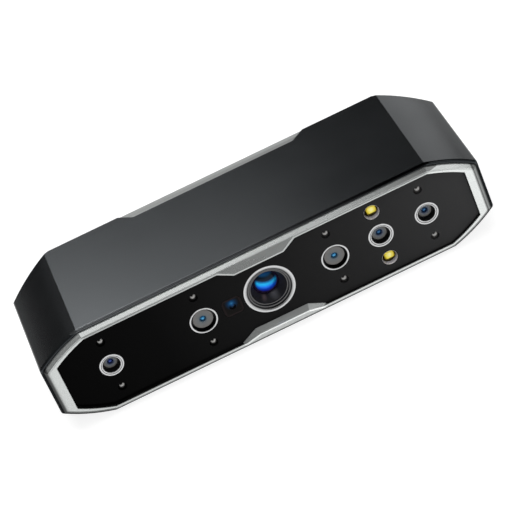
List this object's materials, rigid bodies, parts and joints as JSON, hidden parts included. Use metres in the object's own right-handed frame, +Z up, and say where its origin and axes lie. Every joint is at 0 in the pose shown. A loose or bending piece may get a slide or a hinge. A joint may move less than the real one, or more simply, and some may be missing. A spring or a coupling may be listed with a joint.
{
  "type": "three-d scanner",
  "caption": "Slim hand-held structured-light scanner bar: black sleeve, silver faceted bezel round a black window with cameras, lamps and a projector, keys on the rear.",
  "frame": {"origin": "bottom centre of the whole scanner, on the surface that it stands on", "axes": "+X to the right seen from the front, along the bar; -Y out of the window; +Z up"},
  "size_m": [0.1594, 0.0558, 0.0362],
  "materials": {
    "satin_black_shell": "satin black anodised, very fine grain",
    "silver_bezel": "satin silver with crisp facets",
    "black_glass": "polished, black behind the glass",
    "soft_gasket": "soft foam",
    "ring_metal": "turned silver",
    "near_nose": "bead-blasted warm gray",
    "deep_barrel": "gray with a lilac cast, dark well",
    "projector_black": "stepped dark gray",
    "coated_lens": "blue coating",
    "projector_glass": "deep blue coating with cyan and purple edges",
    "circuit_board": "dark green board",
    "infrared_lamp": "smoked clear resin",
    "led_phosphor": "yellow phosphor",
    "led_cup": "bright cup",
    "black_package": "moulded black",
    "bare_aluminium": "milled",
    "steel": "plated",
    "brass": "turned",
    "cable_film": "amber film",
    "gray_cover": "fine matt gray",
    "panel_black": "smooth black",
    "button_gray": "soft-touch dark gray",
    "clear_light": "milky clear"
  },
  "bodies": {
    "scanner_body": {"bench_posts": "brass", "button_board": "circuit_board", "button_panel": "panel_black", "camera_cables": "cable_film", "colour_camera_barrel": "deep_barrel", "colour_camera_board": "circuit_board", "colour_camera_lens": "coated_lens", "colour_camera_ring": "ring_metal", "distance_sensor": "black_package", "distance_sensor_lens": "coated_lens", "distance_sensor_window": "black_glass", "far_left_camera_barrel": "deep_barrel", "far_left_camera_board": "circuit_board", "far_left_camera_lens": "coated_lens", "far_left_camera_ring": "ring_metal", "far_right_camera_barrel": "deep_barrel", "far_right_camera_board": "circuit_board", "far_right_camera_lens": "coated_lens", "far_right_camera_ring": "ring_metal", "front_bezel": "silver_bezel", "front_window": "black_glass", "heat_spreader": "bare_aluminium", "housing_shell": "satin_black_shell", "infrared_leds": "infrared_lamp", "led_board": "circuit_board", "main_board": "circuit_board", "near_left_camera_barrel": "near_nose", "near_left_camera_board": "circuit_board", "near_left_camera_lens": "coated_lens", "near_left_camera_ring": "ring_metal", "near_right_camera_barrel": "near_nose", "near_right_camera_board": "circuit_board", "near_right_camera_lens": "coated_lens", "near_right_camera_ring": "ring_metal", "optical_bench": "bare_aluminium", "processor_shield": "steel", "projector_barrel": "projector_black", "projector_front_lens": "projector_glass", "projector_heat_sink": "bare_aluminium", "projector_lens_spacer": "projector_black", "projector_light_engine": "bare_aluminium", "projector_rear_lens": "projector_glass", "projector_ring": "ring_metal", "rear_cover": "gray_cover", "rear_posts": "brass", "rear_screws": "steel", "small_screws": "steel", "status_light_pipe": "clear_light", "tact_switches": "black_package", "thermal_pad": "soft_gasket", "tripod_insert": "brass", "usb_c_socket": "steel", "white_led_cups": "led_cup", "white_leds": "led_phosphor", "window_gasket": "soft_gasket"},
    "scan_button": {"scan_button": "button_gray"},
    "plus_button": {"plus_button": "button_gray"},
    "minus_button": {"minus_button": "button_gray"}
  },
  "joints": [
    {"name": "scan_press", "type": "slide", "parent": "scanner_body", "child": "scan_button", "axis": [0, -1, 0], "range_m": [0, 0.0005], "stiffness_N_per_m": 3000},
    {"name": "plus_press", "type": "slide", "parent": "scanner_body", "child": "plus_button", "axis": [0, -1, 0], "range_m": [0, 0.0005], "stiffness_N_per_m": 3000},
    {"name": "minus_press", "type": "slide", "parent": "scanner_body", "child": "minus_button", "axis": [0, -1, 0], "range_m": [0, 0.0005], "stiffness_N_per_m": 3000}
  ]
}
